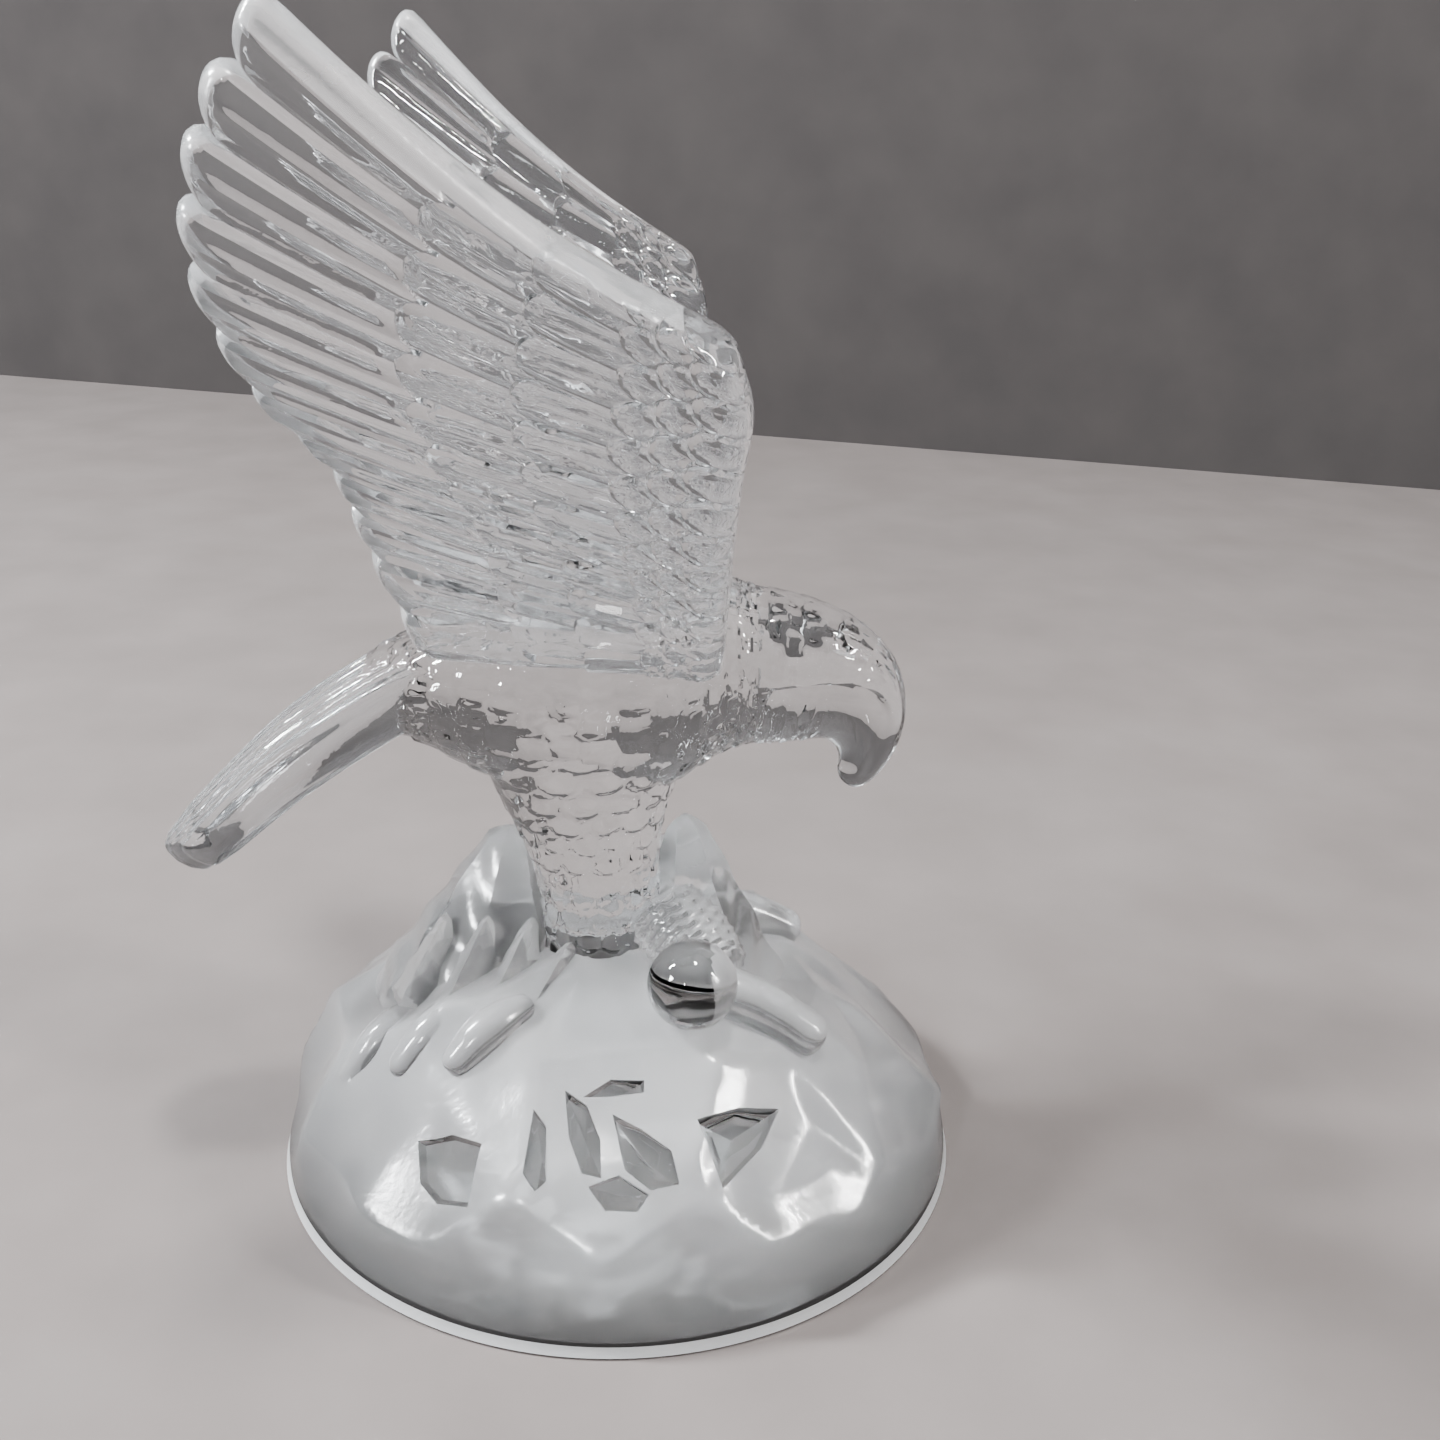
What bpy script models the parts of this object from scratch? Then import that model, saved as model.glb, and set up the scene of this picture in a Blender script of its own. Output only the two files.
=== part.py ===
"""Clear glass eagle with raised wings, pressed in one piece with its rock and round foot.

Metres, +Z up. The origin is the middle of the flat underside. The eagle faces +X.
The rock is laid out from its own sizes. The eagle is drawn in hundredths of its own height,
measured up from the perch on top of the rock, so it keeps its proportions at any size.
"""

import math
import random

import bmesh
import bpy
import numpy as np
from mathutils import Vector

# Driving dimensions
FOOT_DIAMETER = 0.088      # the flat round underside
RIM_HEIGHT = 0.003         # plain band round the foot, below the facets
ROCK_HEIGHT = 0.034        # underside to the perch
ROCK_SHOULDER = 0.033      # how high the rock's facets swell, as the half axis of their dome
EAGLE_HEIGHT = 0.105       # perch to the wing tips
WING_THICKNESS_FRONT = 0.0066
WING_THICKNESS_TIP = 0.0032
TAIL_THICKNESS_ROOT = 0.0070
TAIL_THICKNESS_TIP = 0.0040
LEFT_WING_CHORD = 0.93     # the left wing is narrower than the right one, front to back

# Carving depths
QUILL_RELIEF = 0.0009      # long flight feathers
COVERT_RELIEF = 0.0007     # short feathers over them
TAIL_RELIEF = 0.0007
SCALE_RELIEF = 0.0005      # small round feathers of the body

# Fineness of the facets
FOOT_SIDES = 64
COLUMNS_PER_FEATHER = 4
BODY_SIDES = 24
HEAD_SIDES = 20
TOE_SIDES = 8

FLIGHT_FEATHERS = 12
TAIL_FEATHERS = 7
# Where each row of wing feathers ends, as a share of the way from the front edge to the tips
FEATHER_ROWS = (0.075, 0.145, 0.22, 0.40, 0.60)
ROW_SCALLOP = 0.035        # how far a feather's round end reaches past its row, as the same share

GLASS_COLOUR = (0.93, 0.96, 0.97, 1.0)


def clear_scene():
    for thing in list(bpy.data.objects):
        bpy.data.objects.remove(thing)


def new_collection(name):
    made = bpy.data.collections.new(name)
    bpy.context.scene.collection.children.link(made)
    return made


def glass():
    made = bpy.data.materials.new("pressed_glass")
    made.use_nodes = True
    shader = made.node_tree.nodes["Principled BSDF"]
    shader.inputs["Base Color"].default_value = GLASS_COLOUR
    shader.inputs["Roughness"].default_value = 0.12
    shader.inputs["Metallic"].default_value = 0.0
    shader.inputs["Transmission Weight"].default_value = 1.0
    made.diffuse_color = GLASS_COLOUR
    return made


def add_mesh(name, vertices, faces, collection):
    mesh = bpy.data.meshes.new(name)
    mesh.from_pydata([tuple(v) for v in vertices], [], [tuple(f) for f in faces])
    return add_object(name, mesh, collection)


def add_object(name, mesh, collection):
    made = bpy.data.objects.new(name, mesh)
    collection.objects.link(made)
    return made


def add_bmesh(name, bm, collection):
    mesh = bpy.data.meshes.new(name)
    bmesh.ops.recalc_face_normals(bm, faces=bm.faces)
    bm.to_mesh(mesh)
    bm.free()
    return add_object(name, mesh, collection)


def on_eagle(x, y, z):
    """A point drawn in hundredths of the eagle's height, above the perch."""
    unit = EAGLE_HEIGHT / 100.0
    return np.array((x * unit, y * unit, ROCK_HEIGHT + z * unit))


def above_rock(x, y, lift):
    """A point drawn over the rock's rounded top, which is where the feet go, lift above it."""
    unit = EAGLE_HEIGHT / 100.0
    share = math.hypot(x, y) * unit / (FOOT_DIAMETER / 2)
    top = min(ROCK_SHOULDER * math.sqrt(max(1.0 - share**2, 0.05)), ROCK_HEIGHT)
    return x, y, (top - ROCK_HEIGHT) / unit + lift


def smooth_path(points, t):
    """The point at t, from 0 to 1, on a smooth curve through evenly spaced points."""
    points = np.asarray(points, float)
    ends = np.vstack((2 * points[0] - points[1], points, 2 * points[-1] - points[-2]))
    place = min(max(t, 0.0), 1.0) * (len(points) - 1)
    i = min(int(place), len(points) - 2)
    u = place - i
    a, b, c, d = ends[i : i + 4]
    return 0.5 * (2 * b + (c - a) * u + (2 * a - 5 * b + 4 * c - d) * u**2 + (3 * b - a - 3 * c + d) * u**3)


def loft(name, rings, collection, scaly=False):
    """A closed skin over rings of equally many points, with a point added at each end."""
    count = len(rings[0])
    vertices = [p for ring in rings for p in ring]
    faces = []
    for i in range(len(rings) - 1):
        for j in range(count):
            k = (j + 1) % count
            a, b, c, d = i * count + j, i * count + k, (i + 1) * count + k, (i + 1) * count + j
            if not scaly:
                faces.append((a, b, c, d))
            elif (i + j) % 2:
                faces += [(a, b, d), (b, c, d)]
            else:
                faces += [(a, b, c), (a, c, d)]
    for row, flip in ((0, True), (len(rings) - 1, False)):
        vertices.append(np.mean(rings[row], axis=0))
        hub = len(vertices) - 1
        for j in range(count):
            k = (j + 1) % count
            edge = (row * count + j, row * count + k)
            faces.append((hub, *reversed(edge)) if flip else (hub, *edge))
    return add_mesh(name, vertices, faces, collection)


def rock(collection):
    """The foot and its rock, ground from a round blank as a cutter grinds facets."""
    fall, fall_towards = 0.13, math.radians(48)    # the rock is lower ahead of the left foot
    radius = FOOT_DIAMETER / 2
    draw = random.Random(21)
    bm = bmesh.new()
    bmesh.ops.create_cone(
        bm, cap_ends=True, segments=FOOT_SIDES, radius1=radius, radius2=radius, depth=2 * ROCK_HEIGHT
    )
    bmesh.ops.translate(bm, verts=bm.verts, vec=(0, 0, ROCK_HEIGHT))
    # facets in each ring, their slope above level, and how much slope and turn vary
    facet_rings = ((13, 12, 5, 9), (11, 33, 8, 12), (9, 52, 8, 14), (6, 70, 5, 16), (1, 90, 0, 0))
    for number, (count, slope, slope_play, turn_play) in enumerate(facet_rings):
        for k in range(count):
            tilt = math.radians(slope + draw.uniform(-slope_play, slope_play))
            turn = 2 * math.pi * (k + 0.37 * number) / count
            turn += math.radians(draw.uniform(-turn_play, turn_play))
            level = math.cos(tilt)
            normal = Vector((math.cos(turn) * level, math.sin(turn) * level, math.sin(tilt)))
            if number == 0:
                depth = radius * math.cos(tilt) + RIM_HEIGHT * math.sin(tilt)
            elif count == 1:
                depth = ROCK_HEIGHT
            else:
                depth = math.hypot(radius * math.cos(tilt), ROCK_SHOULDER * math.sin(tilt))
                lowered = fall * max(0.0, math.cos(turn - fall_towards)) * math.sin(tilt) ** 2
                depth *= draw.uniform(0.955, 1.0) - lowered
            cut = bmesh.ops.bisect_plane(
                bm, geom=bm.verts[:] + bm.edges[:] + bm.faces[:], plane_co=normal * depth,
                plane_no=normal, clear_outer=True,
            )
            edges = [e for e in cut["geom_cut"] if isinstance(e, bmesh.types.BMEdge)]
            bmesh.ops.contextual_create(bm, geom=edges)
    bmesh.ops.remove_doubles(bm, verts=bm.verts, dist=0.00002)
    return add_bmesh("rock", bm, collection)


def crag(name, foot, peak, foot_radius, peak_radius, sides, collection):
    """A faceted spur of the rock, from foot to peak."""
    foot, peak = Vector(on_eagle(*foot)), Vector(on_eagle(*peak))
    unit = EAGLE_HEIGHT / 100.0
    along = peak - foot
    bm = bmesh.new()
    bmesh.ops.create_cone(
        bm, cap_ends=True, segments=sides, radius1=foot_radius * unit, radius2=peak_radius * unit,
        depth=along.length,
    )
    bmesh.ops.rotate(bm, verts=bm.verts, matrix=along.to_track_quat("Z", "Y").to_matrix())
    bmesh.ops.translate(bm, verts=bm.verts, vec=(foot + peak) / 2)
    return add_bmesh(name, bm, collection)


def knuckles(name, points, radii, sides, collection):
    """A round limb along a smooth path, such as a toe."""
    rings = []
    steps = 3 * (len(points) - 1)
    path = [on_eagle(*smooth_path(points, i / steps)) for i in range(steps + 1)]
    unit = EAGLE_HEIGHT / 100.0
    for i, here in enumerate(path):
        ahead, behind = path[min(i + 1, steps)], path[max(i - 1, 0)]
        run = Vector(ahead - behind).normalized()
        side = run.cross(Vector((0, 0, 1))).normalized()
        lift = side.cross(run)
        radius = unit * float(smooth_path([(r,) for r in radii], i / steps)[0])
        rings.append(
            [
                here + radius * (math.cos(a) * np.array(side) + math.sin(a) * np.array(lift))
                for a in (2 * math.pi * j / sides for j in range(sides))
            ]
        )
    return loft(name, rings, collection)


def scaled(ring, row):
    """The same ring with every other point pushed out, row and row about, like overlapping scales."""
    centre = np.mean(ring, axis=0)
    made = []
    for j, point in enumerate(ring):
        out = (point - centre) / np.linalg.norm(point - centre)
        made.append(point + out * SCALE_RELIEF * ((row + j) % 2))
    return made


def body(collection):
    """Breast, back and the root of the tail, lying level, from the tail to the neck."""
    # x, lower edge, upper edge, half width
    stations = (
        (-29, 24.5, 32.0, 5.5), (-23, 22.5, 35.5, 8.0), (-15, 18.0, 40.0, 10.2), (-6, 14.5, 42.5, 11.4),
        (4, 16.5, 42.5, 11.2), (11, 21.0, 41.5, 9.4), (15, 22.5, 40.5, 8.4),
    )
    steps = 13
    rings = []
    for i in range(steps + 1):
        x, low, high, half = smooth_path(stations, i / steps)
        ring = []
        for j in range(BODY_SIDES):
            turn = 2 * math.pi * j / BODY_SIDES
            z = (low + high) / 2 + math.sin(turn) * (high - low) / 2
            ring.append(on_eagle(x, math.cos(turn) * half, z))
        rings.append(scaled(ring, i))
    return loft("body", rings, collection, scaly=True)


def thighs(collection):
    """The feathered legs, cast together as one tapering column that runs down into the rock."""
    # height, rear edge, front edge, half width
    stations = (
        (-11, -11.5, 7.5, 9.5), (-4, -10.2, 5.8, 8.8), (3, -10.5, 5.3, 8.6), (10, -12.5, 5.4, 9.0),
        (17, -16.0, 7.2, 10.0), (25, -20.0, 10.5, 10.6), (32, -21.0, 12.0, 9.5),
    )
    steps = 9
    waist = 0.10
    rings = []
    for i in range(steps + 1):
        z, rear, front, half = smooth_path(stations, i / steps)
        ring = []
        for j in range(BODY_SIDES):
            turn = 2 * math.pi * j / BODY_SIDES
            pinch = 1.0 - waist * abs(math.cos(turn)) ** 3
            x = (rear + front) / 2 + math.cos(turn) * (front - rear) / 2 * pinch
            ring.append(on_eagle(x, math.sin(turn) * half, z))
        rings.append(scaled(ring, i))
    return loft("thighs", rings, collection, scaly=True)


def head(collection):
    """Head and hooked beak, one form that turns down at its end, with a hollow under a straight brow."""
    # x, z, pitch, half height, half width, height of the brow in the section, how far it overhangs
    stations = (
        (4.0, 31.4, 0, 10.4, 9.6, 0.02, 0.0), (13.5, 31.2, -2, 9.3, 8.4, 0.04, 0.14),
        (19.2, 30.8, -8, 8.7, 7.9, 0.09, 0.24), (24.4, 29.4, -24, 7.6, 6.8, 0.30, 0.26),
        (27.8, 26.6, -47, 6.1, 5.0, 0.52, 0.16), (28.9, 22.8, -76, 4.4, 3.5, 0.55, 0.0),
        (28.5, 19.4, -101, 2.9, 2.5, 0.5, 0.0), (27.0, 16.4, -118, 1.3, 1.1, 0.5, 0.0),
    )
    steps = 16
    half_count = HEAD_SIDES // 2
    rings = []
    for i in range(steps + 1):
        x, z, pitch, tall, wide, brow, overhang = smooth_path(stations, i / steps)
        up = math.radians(pitch + 90)
        edge = math.asin(brow)
        crown = [(edge + (math.pi - 2 * edge) * k / half_count, 0) for k in range(half_count + 1)]
        cheeks = []
        for k in range(1, half_count):
            round_throat = k / half_count
            hollow = overhang * abs(2 * round_throat - 1)
            cheeks.append((math.pi - edge + (math.pi + 2 * edge) * round_throat, hollow))
        ring = []
        for angle, hollow in crown + cheeks:
            lift = math.sin(angle) * tall
            side = math.cos(angle) * wide * (1 - hollow)
            ring.append(on_eagle(x + math.cos(up) * lift, side, z + math.sin(up) * lift))
        rings.append(ring)
    return loft("head", rings, collection)


def round_lobe(across, lean=1.0):
    """The rounded end of a feather: 1 at its peak and 0 at its edges. Across runs from 0 to 1."""
    shifted = min(max(across, 0.0), 1.0) ** lean
    return math.sqrt(max(0.0, 1.0 - (2 * shifted - 1) ** 2))


def edge_round(distance, width):
    """From 0 on an edge to 1 once it is one width away, as a quarter circle."""
    share = min(max(distance / width, 0.0), 1.0)
    return math.sqrt(1.0 - (1.0 - share) ** 2)


def sheet(name, middle, half, collection):
    """A closed leaf from the grid of points down its middle and half its thickness at each of them."""
    normal = np.cross(np.gradient(middle, axis=0), np.gradient(middle, axis=1))
    normal /= np.linalg.norm(normal, axis=2, keepdims=True)
    rows, count = half.shape
    vertices, index, faces = [], {}, []
    for face, sign in enumerate((1, -1)):
        for i in range(rows):
            for j in range(count):
                rim = i in (0, rows - 1) or j in (0, count - 1)
                if rim and face:
                    index[face, i, j] = index[0, i, j]
                    continue
                index[face, i, j] = len(vertices)
                vertices.append(middle[i, j] + (0 if rim else sign * half[i, j]) * normal[i, j])
        for i in range(rows - 1):
            for j in range(count - 1):
                corners = ((i, j), (i + 1, j), (i + 1, j + 1), (i, j + 1))
                quad = [index[(face, *corner)] for corner in corners]
                faces.append(quad if face else quad[::-1])
    bm = bmesh.new()
    made = [bm.verts.new(v) for v in vertices]
    for quad in faces:
        bm.faces.new([made[k] for k in quad])
    return add_bmesh(name, bm, collection)


def wing_outline(s):
    """Front edge and tip line at s, from the leading flight feather, 0, to the one next to the body, 1."""
    front = (
        (10.0, 73.4), (12.0, 66.8), (11.6, 60.0), (11.3, 52.4), (11.2, 45.7), (11.2, 39.5),
        (11.2, 34.5),
    )
    tips = (
        (-27.9, 101.6), (-34.3, 91.6), (-36.7, 80.4), (-33.7, 69.7), (-27.7, 61.2), (-25.4, 51.2),
        (-21.6, 36.0),
    )
    return smooth_path(front, s), smooth_path(tips, s)


def wing_spread(z):
    """How far the wing's sheet stands off the eagle's middle plane at height z: the wings open like a V."""
    root_height, wing_height = 35.0, 65.0
    root_spread, opening = 9.3, 32.5
    share = min(max((z - root_height) / wing_height, -0.2), 1.05)
    return root_spread + opening * (1.0 - abs(1.0 - share) ** 1.4)


def wing(side, collection):
    """One wing as a sheet of overlapping feathers, carved on both faces. Side is +1 for the left one."""
    leading_sag = 2.6           # how far the leading edge sags between the bend and the tip
    chord_middle = -10.0
    depth = 60.0                # the wing's width across its feathers, near enough
    front_round, tip_round, side_round = 3.0, 1.4, 2.5
    tip_notch = 0.055           # how deep the notch between two feather tips is, as a share of the feather
    step = 0.006                # the step from one row of feathers down to the next, as the same share
    starts, ends = (0.0, *FEATHER_ROWS), (*FEATHER_ROWS, 1.0)
    last = len(FEATHER_ROWS)
    # each row of the grid: its row of feathers, and how far along those feathers it lies
    lines = [(0, 0.0), (0, 0.30), (0, 1.0)]
    lines += [(b, v) for b in range(1, last) for v in (0.0, 1.0)]
    lines += [(last, 0.0), (last, 0.45), (last, 0.93), (last, 1.0)]
    columns = FLIGHT_FEATHERS * COLUMNS_PER_FEATHER
    middle = np.zeros((len(lines), columns + 1, 3))
    half = np.zeros((len(lines), columns + 1))
    for i, (band, v) in enumerate(lines):
        for j in range(columns + 1):
            s = j / columns
            front, tips = wing_outline(s)
            reach = float(np.linalg.norm(tips - front))
            # rows of feathers lie like bricks, so every other one is half a feather over
            own = (s * FLIGHT_FEATHERS + 0.5 * ((last - band) % 2)) % 1.0
            before = (own + 0.5) % 1.0
            near = starts[band] + (ROW_SCALLOP * round_lobe(before) + step if band else 0.0)
            near -= step * v if band else 0.0
            if band < last:
                far = ends[band] + ROW_SCALLOP * round_lobe(own)
            else:
                far = 1.0 - tip_notch * (1 - round_lobe(own, 0.7))
            r = near + (far - near) * v
            x, z = front + (tips - front) * r
            z -= leading_sag * math.sin(math.pi * r) * (1.0 - s) ** 2
            if side > 0:
                x = chord_middle + (x - chord_middle) * LEFT_WING_CHORD
            middle[i, j] = on_eagle(x, side * wing_spread(z), z)
            thick = WING_THICKNESS_FRONT + (WING_THICKNESS_TIP - WING_THICKNESS_FRONT) * r
            rise = QUILL_RELIEF if band == last else COVERT_RELIEF * (0.25 + 0.75 * v)
            edges = edge_round(r * reach, front_round)
            edges *= edge_round(s * depth, side_round) * edge_round((1 - s) * depth, side_round)
            if band == last:
                edges *= edge_round((far - r) * reach, tip_round)
            half[i, j] = (thick / 2 + rise * round_lobe(own)) * edges
    return sheet("wing", middle, half, collection)


def tail(collection):
    """The fanned tail, sloping down behind, with a rib for each feather and a rounded end."""
    # x and z down the middle of the tail, and half its width
    spine = (
        (-17.0, 32.5, 6.2), (-26.0, 28.8, 7.6), (-37.0, 21.6, 8.9), (-46.0, 13.4, 8.4), (-53.0, 6.2, 6.6)
    )
    length = 50.0
    bow = 1.6                   # how far the tail's sides hang below its middle
    end_round, side_round = 1.8, 2.2
    corner, notch = 0.20, 0.035   # how far the corners and the notches draw back, as shares of the length
    rows = 8
    columns = TAIL_FEATHERS * COLUMNS_PER_FEATHER
    middle = np.zeros((rows + 1, columns + 1, 3))
    half = np.zeros((rows + 1, columns + 1))
    for i in range(rows + 1):
        down = (i / rows) ** 0.85
        for j in range(columns + 1):
            across = 2 * j / columns - 1
            own = (j / COLUMNS_PER_FEATHER) % 1.0
            reach = 1.0 - corner * abs(across) ** 2.2 - notch * (1 - round_lobe(own))
            x, z, wide = smooth_path(spine, down * reach)
            middle[i, j] = on_eagle(x, across * wide, z - bow * across**2)
            thick = TAIL_THICKNESS_ROOT + (TAIL_THICKNESS_TIP - TAIL_THICKNESS_ROOT) * down
            edges = edge_round((1 - down) * length, end_round) * edge_round(down * length, end_round)
            edges *= edge_round((1 - abs(across)) * wide, side_round)
            half[i, j] = (thick / 2 + TAIL_RELIEF * round_lobe(own)) * edges
    return sheet("tail", middle, half, collection)


def set_foot(side, points):
    """Set a foot's points on the rock: x, distance from the middle plane, height over the rock's top."""
    spread, sink = (1.0, 0.0) if side < 0 else (0.78, 4.0)
    return [above_rock(x, side * y * spread, lift - sink) for x, y, lift in points]


def front_toe(side, collection):
    path = set_foot(side, ((7.0, 12.5, -0.4), (16.5, 16.2, 0.6), (25.0, 18.5, 0.1)))
    return knuckles("front_toe", path, (3.6, 3.1, 2.6), TOE_SIDES, collection)


def ankle(side, collection):
    path = set_foot(side, ((4.5, 5.0, 3.5), (8.0, 9.8, 1.6), (9.0, 14.2, 0.2)))
    return knuckles("ankle", path, (4.6, 4.8, 4.4), TOE_SIDES, collection)


def knuckle(side, collection):
    """The round clenched knuckle that stands off the rock."""
    radius = 4.4 * EAGLE_HEIGHT / 100.0
    place = set_foot(side, ((7.7, 17.6, 2.9),))[0]
    bm = bmesh.new()
    bmesh.ops.create_uvsphere(bm, u_segments=10, v_segments=7, radius=radius)
    bmesh.ops.translate(bm, verts=bm.verts, vec=on_eagle(*place))
    return add_bmesh("knuckle", bm, collection)


def ridges(side, collection):
    """Long worn bumps side by side, running down the rock behind the right foot."""
    for number in range(3):
        back, inward = 6.5 * number, 3.6 * number
        start = above_rock(-11.0 - back, side * (15.0 - inward), -0.8)
        middle = above_rock(-15.0 - back, side * (18.2 - inward), -0.1)
        end = above_rock(-19.0 - back, side * (20.8 - inward), -1.2)
        knuckles("ridge", (start, middle, end), (1.6, 2.6, 1.5), TOE_SIDES, collection)


def figure():
    """The rock first, then what stands on it from the feet up, all joined into one solid."""
    clear_scene()
    shown = new_collection("glass_eagle_figurine")
    joins = new_collection("forms_joined_into_the_glass")
    base = rock(shown)
    base.name = "glass_eagle"
    base.data.materials.append(glass())
    sides = (-1, 1)
    for side in sides:
        front_toe(side, joins)
    ridges(-1, joins)
    crag("front_spire", (10.5, -1, -14), (7.6, 0.5, 11.8), 12.2, 1.9, 6, joins)
    crag("rear_crag", (-17, 1, -14), (-13.2, 2, 9.6), 15.0, 2.2, 7, joins)
    thighs(joins)
    for side in sides:
        ankle(side, joins)
        knuckle(side, joins)
    body(joins)
    head(joins)
    tail(joins)
    for side in sides:
        wing(side, joins)
    for form in joins.objects:
        form.hide_render = True
        form.display_type = "WIRE"
        union = base.modifiers.new(form.name, "BOOLEAN")
        union.operation = "UNION"
        union.object = form
        union.solver = "EXACT"


figure()
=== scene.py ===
import math
import random

import bmesh
import bpy
import numpy as np
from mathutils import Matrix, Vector
from mathutils.geometry import delaunay_2d_cdt


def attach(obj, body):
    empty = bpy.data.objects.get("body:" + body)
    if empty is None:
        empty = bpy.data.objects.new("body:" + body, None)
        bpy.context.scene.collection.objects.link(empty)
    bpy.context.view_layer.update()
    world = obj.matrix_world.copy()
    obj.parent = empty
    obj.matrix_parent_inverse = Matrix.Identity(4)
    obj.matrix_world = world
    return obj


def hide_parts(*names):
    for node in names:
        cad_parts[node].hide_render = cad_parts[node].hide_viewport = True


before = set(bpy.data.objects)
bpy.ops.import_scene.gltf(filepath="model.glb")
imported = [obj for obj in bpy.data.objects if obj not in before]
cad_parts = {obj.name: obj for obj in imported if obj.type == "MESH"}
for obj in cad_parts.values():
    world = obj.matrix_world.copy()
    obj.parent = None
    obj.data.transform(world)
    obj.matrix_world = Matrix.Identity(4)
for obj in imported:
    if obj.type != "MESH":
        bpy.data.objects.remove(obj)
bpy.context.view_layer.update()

# The figurine is one pressing of clear glass: eagle, rock and round foot.
# The sections below shape its forms from the foot up, then join them into that one piece.


# ---------------------------------------------------------------------------------------------
# The rock and its round foot.
# The heavy lower half of the pressing, with broad hollow facets broken up by small ones, all
# etched to a soft white frost. It stands on a plain ground band with a slightly hollow underside.

FOOT_RADIUS = 0.044
RIM_HEIGHT = 0.003
ROCK_HEIGHT = 0.034
ROCK_SHOULDER = 0.033
ROCK_FALL = 0.13                           # the rock is lower ahead of the left foot
ROCK_FALL_TOWARDS = math.radians(48)
# facets in each ring, their slope above level, and how much slope and turn vary
FACET_RINGS = ((13, 12, 5, 9), (11, 33, 8, 12), (9, 52, 8, 14), (6, 70, 5, 16), (1, 90, 0, 0))
FACET_SEED = 21
FACET_STAGGER = 0.37                       # how far each ring is turned on the one below, in facets
FACET_DEPTHS = (0.955, 1.0)                # the deepest facet and the shallowest, as shares
FACET_HOLLOW = 0.15                        # how hollow each facet is
FACET_EDGE = 0.00014                       # how far the acid rounded the edges between facets
FACET_FACING = 0.2                         # facets that face further away than this don't count
GLASS_IOR = 1.52
GRAIN_STRENGTH = 0.35
CLOUD_DETAIL, GRAIN_DETAIL = 3.0, 2.0
TINT_SPAN, POLISH_SPAN = (0.35, 0.65), (0.3, 0.7)   # the part of the clouds where each changes


def glass_finish(name, tints, roughness, mottle, grain, grain_depth, clear, painted_foot_shade=None):
    """A finish of the glass: two tints and two roughnesses in a soft mottle, under a fine grain.

    Mottle and grain are sizes in metres, and clear is the share of light that goes through. Painted
    foot shade is a dark tint painted on at the foot as shade, and the heights over which it gives
    way to the pale tints."""
    made = bpy.data.materials.new(name)
    made.use_nodes = True
    nodes, links = made.node_tree.nodes, made.node_tree.links
    shader = nodes["Principled BSDF"]
    shader.inputs["Metallic"].default_value = 0.0
    shader.inputs["IOR"].default_value = GLASS_IOR
    shader.inputs["Transmission Weight"].default_value = clear
    place = nodes.new("ShaderNodeTexCoord")
    clouds = nodes.new("ShaderNodeTexNoise")
    clouds.inputs["Scale"].default_value = 1.0 / mottle
    clouds.inputs["Detail"].default_value = CLOUD_DETAIL
    links.new(place.outputs["Object"], clouds.inputs["Vector"])
    tint = nodes.new("ShaderNodeValToRGB")
    for element, position, colour in zip(tint.color_ramp.elements, TINT_SPAN, tints):
        element.position = position
        element.color = (*colour, 1.0)
    links.new(clouds.outputs["Fac"], tint.inputs["Fac"])
    links.new(tint.outputs["Color"], shader.inputs["Base Color"])
    # painted shade: the glass is made darker low down, fading to the pale tints higher up
    if painted_foot_shade:
        split = nodes.new("ShaderNodeSeparateXYZ")
        rise = nodes.new("ShaderNodeMapRange")
        rise.inputs["From Min"].default_value, rise.inputs["From Max"].default_value = painted_foot_shade[1:]
        shade_blend = nodes.new("ShaderNodeMixRGB")
        shade_blend.inputs["Color1"].default_value = (*painted_foot_shade[0], 1.0)
        links.new(place.outputs["Object"], split.inputs["Vector"])
        links.new(split.outputs["Z"], rise.inputs["Value"])
        links.new(rise.outputs["Result"], shade_blend.inputs["Fac"])
        links.new(tint.outputs["Color"], shade_blend.inputs["Color2"])
        links.new(shade_blend.outputs["Color"], shader.inputs["Base Color"])
    polish = nodes.new("ShaderNodeMapRange")
    polish.inputs["From Min"].default_value, polish.inputs["From Max"].default_value = POLISH_SPAN
    polish.inputs["To Min"].default_value, polish.inputs["To Max"].default_value = roughness
    links.new(clouds.outputs["Fac"], polish.inputs["Value"])
    links.new(polish.outputs["Result"], shader.inputs["Roughness"])
    pitting = nodes.new("ShaderNodeTexNoise")
    pitting.inputs["Scale"].default_value = 1.0 / grain
    pitting.inputs["Detail"].default_value = GRAIN_DETAIL
    links.new(place.outputs["Object"], pitting.inputs["Vector"])
    bump = nodes.new("ShaderNodeBump")
    bump.inputs["Strength"].default_value = GRAIN_STRENGTH
    bump.inputs["Distance"].default_value = grain_depth
    links.new(pitting.outputs["Fac"], bump.inputs["Height"])
    links.new(bump.outputs["Normal"], shader.inputs["Normal"])
    return made


# The frost is painted dark grey at the very foot, fading out by 22 mm up: painted shade on the low
# part of the rock.
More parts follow.
